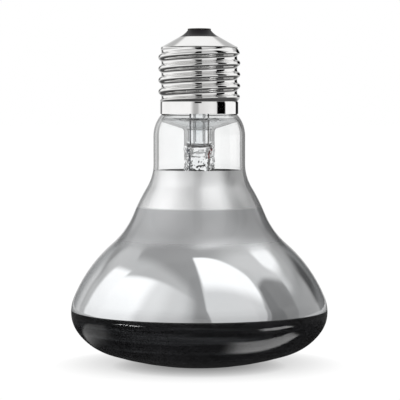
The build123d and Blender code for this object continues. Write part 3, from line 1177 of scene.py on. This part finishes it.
@dataclass
class GlassStem:
    """Glass stem: the flare, the tube, the pinched press and the exhaust tube inside it."""

    press_base: float
    flare_reach: float
    flare_top: float
    exhaust_top: float
    stem_diameter: float = 9.8
    wall: float = 1.0
    flare_lean: float = 72.0
    flare_bend: float = 1.2
    seal_gap: float = 0.02
    stem_length: float = 6.0
    press_neck: float = 2.2
    press_width: float = 9.6
    press_thickness: float = 4.2
    press_length: float = 6.5
    exhaust_diameter: float = 4.0
    exhaust_wall: float = 0.6
    lump_size: float = 0.9
    lump_height: float = 0.35
    lump_seed: int = 7
    lump_upright: float = 0.5
    lump_fade_drop: float = 0.5
    lump_fade_rise: float = 1.5
    segments: int = 144

    def __post_init__(self) -> None:
        """Works out the heights that follow from the sizes."""
        self.press_top = self.press_base + self.press_length
        self.stem_base = self.press_top + self.press_neck
        self.stem_top = self.stem_base + self.stem_length
        self.bore_floor = self.stem_base + self.wall

    def _stem(self) -> bmesh.types.BMesh:
        """Turns the stem as a closed tube, then pinches its end into the press.

        Returns:
            The stem's mesh.
        """
        radius = self.stem_diameter / 2
        bore = radius - self.wall
        floor_bend = bore / 2
        pen = SectionPen(0.0, self.press_base)
        pen.reach(radius, self.press_base, steps=12)
        pen.heading = 90.0
        pen.run(self.stem_top - self.press_base, steps=64)
        pen.bend(self.flare_bend, -self.flare_lean)
        slope = math.tan(math.radians(90.0 - self.flare_lean))
        reach = self.flare_reach - self.seal_gap
        pen.reach(reach, pen.tip.co.z / MM + (reach - pen.tip.co.x / MM) * slope, steps=16)
        inner_bend = self.flare_bend + self.wall
        bend_radius = bore + inner_bend * (1 - cosine(self.flare_lean))
        bend_height = self.stem_top + inner_bend * sine(self.flare_lean)
        top_reach = bend_radius + (self.flare_top - bend_height) / slope - self.seal_gap
        pen.reach(top_reach, self.flare_top)
        pen.reach(bend_radius, bend_height, steps=16)
        pen.bend(inner_bend, self.flare_lean)
        pen.run(self.stem_top - self.bore_floor - floor_bend, steps=12)
        pen.bend(floor_bend, -90.0)
        pen.reach(0.0, self.bore_floor, steps=6)
        stem = pen.turn_full(self.segments)
        noise.seed_set(self.lump_seed)
        for vertex in stem.verts:
            self._pinch(vertex)
        return stem

    def _pinch(self, vertex: bmesh.types.BMVert) -> None:
        """Moves a point of the tube's lower end to where the pinching tool left it.

        Args:
            vertex: Point of the stem.
        """
        height = vertex.co.z / MM
        share = 1.0 - ease(height, self.press_top, self.stem_base)
        lumps_full = self.stem_base - self.lump_fade_drop
        lumps_end = self.bore_floor + self.lump_fade_rise
        lump_share = 1.0 - ease(height, lumps_full, lumps_end)
        radius = self.stem_diameter / 2
        across = 1.0 + share * (self.press_width / 2 / radius - 1.0)
        through = 1.0 + share * (self.press_thickness / 2 / radius - 1.0)
        vertex.co.x *= across
        vertex.co.y *= through
        place = vertex.co / (self.lump_size * MM)
        lump = noise.noise_vector(place) * (self.lump_height * MM * lump_share)
        lump.z *= self.lump_upright
        vertex.co += lump

    def _exhaust(self) -> bmesh.types.BMesh:
        """Turns the exhaust tube with its sealed end.

        Returns:
            Its mesh.
        """
        outer = self.exhaust_diameter / 2
        bore = outer - self.exhaust_wall
        shoulder = self.exhaust_top - outer
        pen = SectionPen(0.0, shoulder + outer, 0.0)
        pen.bend(outer, -90.0)
        pen.run(shoulder - self.bore_floor, steps=20)
        pen.reach(bore, self.bore_floor)
        pen.heading = 90.0
        pen.run(shoulder - self.bore_floor, steps=20)
        pen.bend(bore, 90.0)
        return pen.turn_full(self.segments // 2)

    def build(self, groups: SurfaceGroups) -> None:
        """Builds and dresses the stem and the exhaust tube.

        Args:
            groups: Shared node groups.
        """
        glass = STEM_GLASS.material(groups)
        finished_piece(self._stem(), "pinched_stem", glass, Slot.STEM_GLASS, "glass_stem")
        finished_piece(self._exhaust(), "exhaust_glass", glass, Slot.STEM_GLASS, "exhaust_tube")


@dataclass
class Wiring:
    """Wires, solder and cement whose solids are shown as they are."""

    nodes: dict[str, bpy.types.Object]

    def build(self, groups: SurfaceGroups) -> None:
        """Dresses each solid.

        Args:
            groups: Shared node groups.
        """
        filament = FILAMENT_WIRE.material(groups)
        finishes = {
            "contact_lead": SEALED_LEAD.material(groups),
            "shell_lead": PLAIN_LEAD.material(groups),
            "filament": filament,
            "filament_support": filament,
            "side_solder": SOLDER.material(groups),
            "cap_cement": CEMENT.material(groups),
        }
        for name, material in finishes.items():
            dress(self.nodes[name], material)


# Studio


def after_reflection(bench: NodeBench) -> bpy.types.NodeSocket:
    """Tells rays that a polished surface has sent back from rays that come straight.

    Args:
        bench: Bench of a material's tree.

    Returns:
        Socket that is 1 once a ray has been reflected.
    """
    path = bench.lay("ShaderNodeLightPath")
    return bench.math("GREATER_THAN", path.outputs["Glossy Depth"], 0.5)


def through_glass(bench: NodeBench) -> bpy.types.NodeSocket:
    """Tells rays that have passed through clear glass from the others.

    Args:
        bench: Bench of a material's tree.

    Returns:
        Socket that is 1 once a ray has passed through glass.
    """
    path = bench.lay("ShaderNodeLightPath")
    return bench.math("GREATER_THAN", path.outputs["Transmission Depth"], 0.5)


def seen_directly(bench: NodeBench) -> bpy.types.NodeSocket:
    """Tells rays that the eye follows from rays that only light things.

    Args:
        bench: Bench of a material's or the world's tree.

    Returns:
        Socket that is 1 for camera, glossy and transmission rays.
    """
    path = bench.lay("ShaderNodeLightPath")
    either = bench.math("MAXIMUM", path.outputs["Is Camera Ray"], path.outputs["Is Glossy Ray"])
    return bench.math("MAXIMUM", either, path.outputs["Is Transmission Ray"])


def direction(azimuth: float, elevation: float) -> Vector:
    """Direction from the lamp.

    Args:
        azimuth: Angle in degrees from the camera's side towards +X.
        elevation: Angle in degrees above the floor.

    Returns:
        The direction, of length 1.
    """
    level = cosine(elevation)
    return Vector((sine(azimuth) * level, -cosine(azimuth) * level, sine(elevation)))


def staged(name: str, mesh: bmesh.types.BMesh, material: bpy.types.Material) -> bpy.types.Object:
    """Makes an object of the studio from a mesh.

    Args:
        name: Name of the object.
        mesh: Finished mesh, which is freed.
        material: Material of the object.

    Returns:
        The new object.
    """
    data = bpy.data.meshes.new(name)
    mesh.to_mesh(data)
    mesh.free()
    data.materials.append(material)
    thing = bpy.data.objects.new(name, data)
    bpy.context.scene.collection.objects.link(thing)
    return thing


def keep_unseen(thing: bpy.types.Object) -> None:
    """Hides a studio object from the camera, and keeps it from lighting or shading the lamp."""
    thing.visible_camera = False
    thing.visible_diffuse = False
    thing.visible_shadow = False


def show_glow(bench: NodeBench, level: object, shown: bpy.types.NodeSocket) -> None:
    """Finishes a material that glows where it is shown and is clear otherwise.

    Args:
        bench: Bench of the material's tree.
        level: Socket or number for the brightness.
        shown: Socket with the share of the glow.
    """
    leave = bench.lay("ShaderNodeOutputMaterial")
    glow = bench.lay("ShaderNodeEmission")
    bench.feed(glow.inputs["Strength"], level)
    clear = bench.lay("ShaderNodeBsdfTransparent")
    mix = bench.lay("ShaderNodeMixShader")
    bench.join(shown, mix.inputs["Fac"])
    bench.join(clear.outputs["BSDF"], mix.inputs[1])
    bench.join(glow.outputs["Emission"], mix.inputs[2])
    bench.join(mix.outputs["Shader"], leave.inputs["Surface"])


@dataclass(frozen=True)
class Panel:
    """Patch of the light tent whose edges are straight as the lamp sees them.

    Attributes:
        level: Brightness of the patch.
        corners: Azimuth and elevation of its corners in order, each with the angle over which the
            edge from there to the next corner fades.
    """

    level: float
    corners: tuple[tuple[float, float, float], ...]

    def cover(self, bench: NodeBench, way: bpy.types.NodeSocket) -> bpy.types.NodeSocket:
        """Lays the nodes that tell whether a direction lies in the patch.

        Args:
            bench: Bench of the tent's material.
            way: Socket with the direction.

        Returns:
            Socket that is 1 in the patch and fades at its edges.
        """
        ways = [direction(azimuth, elevation) for azimuth, elevation, _ in self.corners]
        middle = sum(ways, Vector())
        cover = None
        for first, second, corner in zip(ways, ways[1:] + ways[:1], self.corners):
            normal = first.cross(second).normalized()
            depth = bench.lay("ShaderNodeVectorMath", operation="DOT_PRODUCT")
            bench.join(way, depth.inputs[0])
            depth.inputs[1].default_value = normal if normal.dot(middle) > 0.0 else -normal
            reach = sine(corner[2] / 2)
            rise = bench.rise(depth.outputs["Value"], -reach, reach)
            cover = rise if cover is None else bench.math("MULTIPLY", cover, rise)
        return cover


@dataclass(frozen=True)
class TentPaint:
    """Brightness of the light tent all round.

    Attributes:
        level: Brightness of the cloth.
        side_gain: Gain in brightness towards +X.
        wall: Azimuth and brightness of the changes along the wall, from -180 to 180 degrees.
        wall_top: Elevation at which the wall ends.
        wall_fade: Angle over which it ends.
        panels: Panels in the order in which they cover each other.
        foot_gain: Share of the brightness that is left at the foot.
        foot_top: Elevation above which all of it is left.
    """

    level: float
    side_gain: float = 0.0
    wall: tuple[tuple[float, float], ...] = ()
    wall_top: float = 45.0
    wall_fade: float = 8.0
    panels: tuple[Panel, ...] = ()
    foot_gain: float = 1.0
    foot_top: float = 42.0

    def brightness(self, bench: NodeBench, way: bpy.types.NodeSocket) -> bpy.types.NodeSocket:
        """Lays the nodes for the brightness in a direction.

        Args:
            bench: Bench of the tent's material.
            way: Socket with the direction.

        Returns:
            Socket with the brightness.
        """
        split = bench.lay("ShaderNodeSeparateXYZ")
        bench.join(way, split.inputs["Vector"])
        aside = bench.math("MULTIPLY", split.outputs["X"], self.side_gain)
        level = bench.math("ADD", aside, self.level)
        if self.wall:
            lowest = sine(self.wall_top - self.wall_fade / 2)
            highest = sine(self.wall_top + self.wall_fade / 2)
            below_top = bench.rise(split.outputs["Z"], highest, lowest)
            level = bench.lean(below_top, level, self._along_wall(bench, split))
        for panel in self.panels:
            level = bench.lean(panel.cover(bench, way), level, panel.level)
        foot_share = bench.rise(split.outputs["Z"], sine(self.foot_top), 0.0)
        gain = bench.lean(foot_share, 1.0, self.foot_gain)
        return bench.math("MULTIPLY", level, gain)

    def _along_wall(self, bench: NodeBench, split: bpy.types.Node) -> bpy.types.NodeSocket:
        """Lays the nodes for the brightness along the wall.

        Args:
            bench: Bench of the tent's material.
            split: Node with the parts of the direction.

        Returns:
            Socket with the brightness.
        """
        toward_camera = bench.math("MULTIPLY", split.outputs["Y"], -1.0)
        azimuth = bench.math("ARCTAN2", split.outputs["X"], toward_camera)
        turn = bench.math("ADD", bench.math("DIVIDE", azimuth, math.tau), 0.5)
        ramp = bench.lay("ShaderNodeValToRGB")
        ramp.color_ramp.interpolation = "EASE"
        stops = ramp.color_ramp.elements
        for stop in self.wall[2:]:
            stops.new(0.5 + stop[0] / 360.0)
        for place, (angle, level) in zip(stops, self.wall):
            place.position = 0.5 + angle / 360.0
            place.color = (level, level, level, 1.0)
        bench.join(turn, ramp.inputs["Fac"])
        return ramp.outputs["Color"]


@dataclass(frozen=True)
class FloorPatch:
    """Bright patch of the floor that the lamp's face reflects.

    Attributes:
        level: Brightness of the patch.
        centre: Place of its middle in millimetres.
        half_size: Half of its width and depth before it is turned.
        turn: Angle by which it is turned.
        soft: Share of its size over which it fades.
    """

    level: float
    centre: tuple[float, float]
    half_size: tuple[float, float]
    turn: float = 0.0
    soft: float = 0.3

    def cover(self, bench: NodeBench, place: bpy.types.NodeSocket) -> bpy.types.NodeSocket:
        """Lays the nodes that tell whether a place on the floor lies in the patch.

        Args:
            bench: Bench of the floor's material.
            place: Socket with the place in metres.

        Returns:
            Socket that is 1 in the patch and fades at its edges.
        """
        mapping = bench.lay("ShaderNodeMapping", vector_type="TEXTURE")
        mapping.inputs["Location"].default_value = (self.centre[0] * MM, self.centre[1] * MM, 0.0)
        mapping.inputs["Rotation"].default_value = (0.0, 0.0, math.radians(self.turn))
        mapping.inputs["Scale"].default_value = (self.half_size[0] * MM, self.half_size[1] * MM, 1.0)
        bench.join(place, mapping.inputs["Vector"])
        split = bench.lay("ShaderNodeSeparateXYZ")
        bench.join(mapping.outputs["Vector"], split.inputs["Vector"])
        across = bench.math("ABSOLUTE", split.outputs["X"])
        along = bench.math("ABSOLUTE", split.outputs["Y"])
        return bench.math(
            "MULTIPLY",
            bench.rise(across, 1.0 + self.soft, 1.0 - self.soft),
            bench.rise(along, 1.0 + self.soft, 1.0 - self.soft),
        )


@dataclass(frozen=True)
class FloorShade:
    """Soft shade on the floor where the lamp is close above it.

    Attributes:
        reach: Distance of the lamp at which the shade ends.
        power: Depth of the shade.
        lean: Lean towards the camera of the side that the light comes from.
    """

    reach: float
    power: float
    lean: float

    def open_share(self, bench: NodeBench) -> bpy.types.NodeSocket:
        """Lays the nodes for the share of the light that reaches the floor.

        Args:
            bench: Bench of the floor's material.

        Returns:
            Socket from 0 to 1.
        """
        shade = bench.lay("ShaderNodeAmbientOcclusion")
        shade.inputs["Distance"].default_value = self.reach * MM
        light_side = bench.lay("ShaderNodeCombineXYZ")
        light_side.inputs["Y"].default_value = -sine(self.lean)
        light_side.inputs["Z"].default_value = cosine(self.lean)
        bench.join(light_side.outputs["Vector"], shade.inputs["Normal"])
        return bench.math("POWER", shade.outputs["AO"], self.power)


@dataclass(frozen=True)
class Flag:
    """Dark upright card far beside or behind the lamp, which shows through its clear glass only.

    Attributes:
        name: Name of the card.
        level: Brightness of the card.
        start: Azimuth of its first side.
        end: Azimuth of its last side.
        radius: Distance from the lamp's axis.
        height: Height of the card.
        facet: Widest angle of one facet.
    """

    name: str
    level: float
    start: float
    end: float
    radius: float = 900.0
    height: float = 900.0
    facet: float = 3.0

    def build(self) -> None:
        """Builds the card by turning an upright edge about the lamp's axis."""
        mesh = bmesh.new()
        foot = direction(self.start, 0.0) * (self.radius * MM)
        ends = [mesh.verts.new((foot.x, foot.y, height * MM)) for height in (0.0, self.height)]
        mesh.edges.new(ends)
        turn = self.end - self.start
        bmesh.ops.spin(
            mesh,
            geom=mesh.verts[:] + mesh.edges[:],
            cent=(0.0, 0.0, 0.0),
            axis=(0.0, 0.0, 1.0),
            angle=math.radians(turn),
            steps=math.ceil(turn / self.facet),
        )
        made, bench = empty_material(self.name)
        show_glow(bench, self.level, bench.math("SUBTRACT", 1.0, after_reflection(bench)))
        keep_unseen(staged(self.name, mesh, made))


@dataclass(frozen=True)
class LightTent:
    """Grey tent with bright and dark panels, which the polished parts reflect.

    Attributes:
        mirror_paint: Paint that shows in what is reflected under clear glass.
        metal_paint: Paint that shows in bare polished surfaces.
        radius: Radius of the tent.
        middle_height: Height of the point that the panels are seen from.
        foot_height: Height at which the tent ends above the floor.
        segments: Number of segments round the axis.
        rings: Number of rings of the whole sphere.
    """

    mirror_paint: TentPaint
    metal_paint: TentPaint
    radius: float = 2400.0
    middle_height: float = 40.0
    foot_height: float = 1.0
    segments: int = 48
    rings: int = 24

    def build(self) -> None:
        """Builds the tent and paints it."""
        mesh = bmesh.new()
        bmesh.ops.create_uvsphere(
            mesh, u_segments=self.segments, v_segments=self.rings, radius=self.radius * MM
        )
        cut_away(mesh, self.foot_height, keep_above=True)
        made, bench = empty_material("tent_cloth")
        place = bench.lay("ShaderNodeTexCoord")
        from_middle = bench.lay("ShaderNodeVectorMath", operation="SUBTRACT")
        from_middle.inputs[1].default_value = (0.0, 0.0, self.middle_height * MM)
        bench.join(place.outputs["Object"], from_middle.inputs[0])
        way = bench.lay("ShaderNodeVectorMath", operation="NORMALIZE")
        bench.join(from_middle.outputs["Vector"], way.inputs[0])
        level = bench.lean(
            through_glass(bench),
            self.metal_paint.brightness(bench, way.outputs["Vector"]),
            self.mirror_paint.brightness(bench, way.outputs["Vector"]),
        )
        show_glow(bench, level, after_reflection(bench))
        keep_unseen(staged("light_tent", mesh, made))


MIRROR_PAINT = TentPaint(
    level=0.36,
    side_gain=0.1,
    foot_gain=0.75,
    panels=(
        # Light cloth behind the lamp, and overhead on the right
        Panel(0.68, ((-180, -12, 4), (-180, 14, 6), (-138, 22, 6), (-134, -12, 4))),
        Panel(0.36, ((98, -12, 4), (98, 26, 6), (136, 26, 6), (136, -12, 4))),
        Panel(0.66, ((60, 76, 26), (120, 72, 22), (130, 48, 10), (112, 26, 8), (70, 40, 6))),
        Panel(0.58, ((-118, 26, 4), (-112, 48, 3), (-138, 50, 5), (-150, 36, 5), (-140, 24, 6))),
        # Softbox on the left, which fades towards the camera
        Panel(0.56, ((-134, -12, 6), (-136, 30, 10), (-8, 52, 12), (-4, -12, 8))),
        Panel(0.74, ((-106, -12, 3), (-106, 39, 4), (-12, 48, 18), (-12, -12, 6))),
        Panel(0.9, ((-106, -12, 3), (-106, 39, 4), (-38, 54, 16), (-38, -12, 6))),
        Panel(1.25, ((-106, -12, 3), (-106, 39, 4), (-62, 54, 12), (-62, -12, 6))),
        Panel(1.2, ((-126, -12, 5), (-126, 34, 4), (-104, 45, 3), (-104, -12, 3))),
        # Softbox on the right with the dark screen beside it
        Panel(0.78, ((-45, 84, 2), (66, 80, 3), (75, 54, 2), (60, -12, 6), (12, -12, 2))),
        Panel(1.25, ((-45, 84, 2), (66, 80, 3), (75, 54, 2), (70, 35, 12), (6, 56, 2))),
        Panel(0.25, ((75, 45, 6), (88, 47, 6), (108, 35, 3), (97, -12, 4), (65, -12, 2))),
        # Bright strip and dark post at the back on the right
        Panel(1.12, ((108, 49, 4), (122, 56, 5), (139, 40, 8), (124, 36, 10), (110, 40, 6))),
        Panel(0.14, ((135, 8, 9), (135, 23, 9), (152, 23, 9), (152, 8, 9))),
    ),
)
METAL_PAINT = TentPaint(
    level=0.55,
    wall=(
        (-180, 0.8), (-168, 0.7), (-158, 0.12), (-150, 0.12), (-138, 1.1), (-28, 1.1), (-14, 0.5),
        (-6, 0.5), (2, 0.85), (40, 1.0), (52, 0.9), (55, 0.0), (81, 0.0), (85, 1.1), (132, 1.1),
        (139, 0.0), (160, 0.0), (168, 0.6), (180, 0.8),
    ),
    wall_top=22.0,
    panels=(
        Panel(
            1.05,
            ((-104, 12, 8), (-98, 30, 8), (-60, 72, 12), (60, 72, 8), (98, 30, 8), (104, 12, 8)),
        ),
        Panel(0.0, ((-14, 10, 3), (-14, 66, 6), (7, 66, 3), (7, 10, 3))),
        Panel(0.0, ((55, 10, 3), (55, 60, 6), (81, 60, 3), (81, 10, 3))),
    ),
)
FLAGS = (
    Flag("left_flag", 0.04, -124.0, -96.0),
    Flag("right_flag", 0.04, 96.0, 124.0),
    Flag("left_far_flag", 0.25, -167.0, -150.0),
    Flag("right_far_flag", 0.25, 150.0, 167.0),
)

FLOOR_SHADES = (
    FloorShade(reach=14.0, power=0.5, lean=60.0),
    FloorShade(reach=4.0, power=0.42, lean=35.0),
)

FLOOR_PATCHES = (
    FloorPatch(2.2, centre=(31.0, -29.0), half_size=(19.0, 5.0), turn=25.0),
    FloorPatch(6.0, centre=(-96.0, -66.0), half_size=(9.0, 24.0), turn=55.0),
    FloorPatch(4.0, centre=(66.0, -42.0), half_size=(20.0, 7.0), turn=35.0),
    FloorPatch(0.5, centre=(-66.0, -6.0), half_size=(24.0, 18.0)),
)


@dataclass
class Studio:
    """Pale floor, white background, the light tent with its flags, and the camera."""

    focal_pixels: float = 1835.0
    frame_pixels: float = 400.0
    sensor_width: float = 36.0
    camera_distance: float = 586.0
    camera_height: float = 78.8
    camera_aside: float = 0.22
    camera_pitch: float = 2.5
    camera_clip: float = 10.0
    floor_half: float = 20000.0
    floor_level: float = 1.02
    floor_reflection: float = 0.02
    floor_far_reflection: float = 0.08
    floor_coated_reflection: float = 0.5
    floor_near_radius: float = 55.0
    floor_far_radius: float = 130.0
    floor_open_radius: float = 250.0
    floor_horizon_radius: float = 600.0
    floor_horizon_reflection: float = 0.6
    patch_near: float = 110.0
    patch_far: float = 125.0
    sky_level: float = 0.7
    glass_bounces: int = 24
    mirror_bounces: int = 8

    def build(self) -> None:
        """Builds the whole studio."""
        self._world()
        self._floor()
        LightTent(MIRROR_PAINT, METAL_PAINT).build()
        for flag in FLAGS:
            flag.build()
        self._camera()
        scene = bpy.context.scene
        scene.view_settings.view_transform = "Standard"
        scene.cycles.max_bounces = self.glass_bounces
        scene.cycles.transmission_bounces = self.glass_bounces
        scene.cycles.glossy_bounces = self.mirror_bounces
        LOG.info("built the studio")

    def _world(self) -> None:
        """Makes a white background, which is dimmer as a light on matt surfaces."""
        world = bpy.data.worlds.new("white_studio")
        world.use_nodes = True
        bpy.context.scene.world = world
        bench = NodeBench(world.node_tree)
        leave = bench.lay("ShaderNodeOutputWorld")
        sky = bench.lay("ShaderNodeBackground")
        sky.inputs["Color"].default_value = (1.0, 1.0, 1.0, 1.0)
        bench.join(bench.lean(seen_directly(bench), self.sky_level, 1.0), sky.inputs["Strength"])
        bench.join(sky.outputs["Background"], leave.inputs["Surface"])

    def _floor(self) -> None:
        """Makes the pale floor, which keeps the lamp's shadow and is darker in reflections."""
        mesh = bmesh.new()
        bmesh.ops.create_grid(mesh, x_segments=1, y_segments=1, size=self.floor_half * MM)
        made, bench = empty_material("pale_floor")
        leave = bench.lay("ShaderNodeOutputMaterial")
        pale = self.floor_level
        for shade in FLOOR_SHADES:
            pale = bench.math("MULTIPLY", shade.open_share(bench), pale)
        glow = bench.lay("ShaderNodeEmission")
        level = bench.lean(after_reflection(bench), pale, self._reflected_floor(bench))
        bench.join(level, glow.inputs["Strength"])
        bench.join(glow.outputs["Emission"], leave.inputs["Surface"])
        staged("floor", mesh, made)

    def _reflected_floor(self, bench: NodeBench) -> bpy.types.NodeSocket:
        """Lays the nodes for the floor as polished surfaces show it.

        Args:
            bench: Bench of the floor's material.

        Returns:
            Socket with the brightness.
        """
        place = bench.lay("ShaderNodeTexCoord").outputs["Object"]
        length = bench.lay("ShaderNodeVectorMath", operation="LENGTH")
        bench.join(place, length.inputs[0])
        away = length.outputs["Value"]
        far_share = bench.rise(away, self.floor_near_radius * MM, self.floor_far_radius * MM)
        level = bench.lean(far_share, self.floor_reflection, self.floor_far_reflection)
        open_share = bench.rise(away, self.floor_open_radius * MM, self.floor_horizon_radius * MM)
        level = bench.lean(open_share, level, self.floor_horizon_reflection)
        ray_length = bench.lay("ShaderNodeLightPath").outputs["Ray Length"]
        near_by = bench.rise(ray_length, self.patch_far * MM, self.patch_near * MM)
        for patch in FLOOR_PATCHES:
            share = bench.math("MULTIPLY", patch.cover(bench, place), near_by)
            level = bench.lean(share, level, patch.level)
        return bench.lean(through_glass(bench), level, self.floor_coated_reflection)

    def _camera(self) -> None:
        """Puts the camera where the photograph was taken from."""
        data = bpy.data.cameras.new("photo_camera")
        data.sensor_width = self.sensor_width
        data.lens = self.focal_pixels * self.sensor_width / self.frame_pixels
        data.clip_start = self.camera_clip * MM
        camera = bpy.data.objects.new("photo_camera", data)
        camera.location = (
            self.camera_aside * MM,
            -self.camera_distance * MM,
            self.camera_height * MM,
        )
        camera.rotation_euler = (math.radians(90.0 - self.camera_pitch), 0.0, 0.0)
        bpy.context.scene.collection.objects.link(camera)
        bpy.context.scene.camera = camera


def main() -> None:
    """Builds the lamp and the studio."""
    logging.basicConfig(level=logging.INFO, format="%(name)s: %(message)s")
    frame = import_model()
    groups = SurfaceGroups()
    ReflectorBulb().build(groups)
    cap_low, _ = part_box("cap_shell")
    ScrewCap(rim_height=cap_low.z / MM).build(groups)
    stem_low, stem_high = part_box("glass_stem")
    _, exhaust_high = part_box("exhaust_tube")
    GlassStem(
        press_base=stem_low.z / MM,
        flare_reach=stem_high.x / MM,
        flare_top=stem_high.z / MM,
        exhaust_top=exhaust_high.z / MM,
    ).build(groups)
    Wiring(frame["nodes"]).build(groups)
    Studio().build()


if __name__ == "__main__":
    main()
